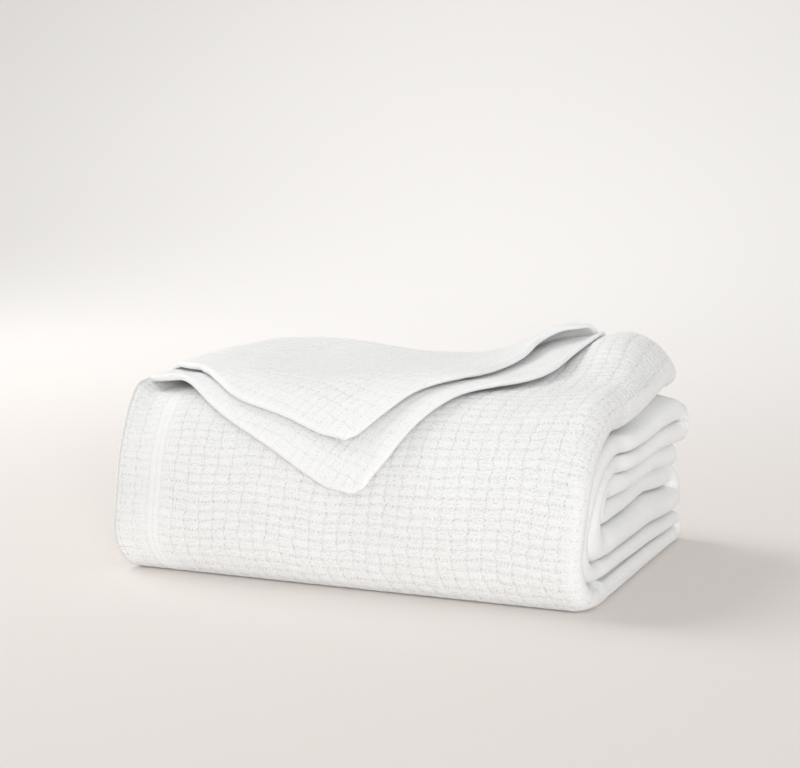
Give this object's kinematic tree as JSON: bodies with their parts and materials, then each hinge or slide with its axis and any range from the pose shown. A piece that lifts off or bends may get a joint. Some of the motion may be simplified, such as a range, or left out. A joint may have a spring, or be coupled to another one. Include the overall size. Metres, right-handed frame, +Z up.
{
  "type": "folded crochet blanket",
  "caption": "Thick white cotton crochet blanket folded into a soft oblong bundle, with one corner laid as a flap over its top and front.",
  "frame": {"origin": "centre of the bundle's footprint, on the plane that it rests on", "axes": "+X along the bundle, from its hems at the left to its folds at the right, seen from the front. -Y is the front, where the flap's corner hangs. +Z is up through the stacked layers."},
  "size_m": [0.3894, 0.2758, 0.1756],
  "materials": {
    "white_cotton": "matt crocheted cotton"
  },
  "bodies": {
    "root": {"blanket": "white_cotton"}
  },
  "joints": []
}
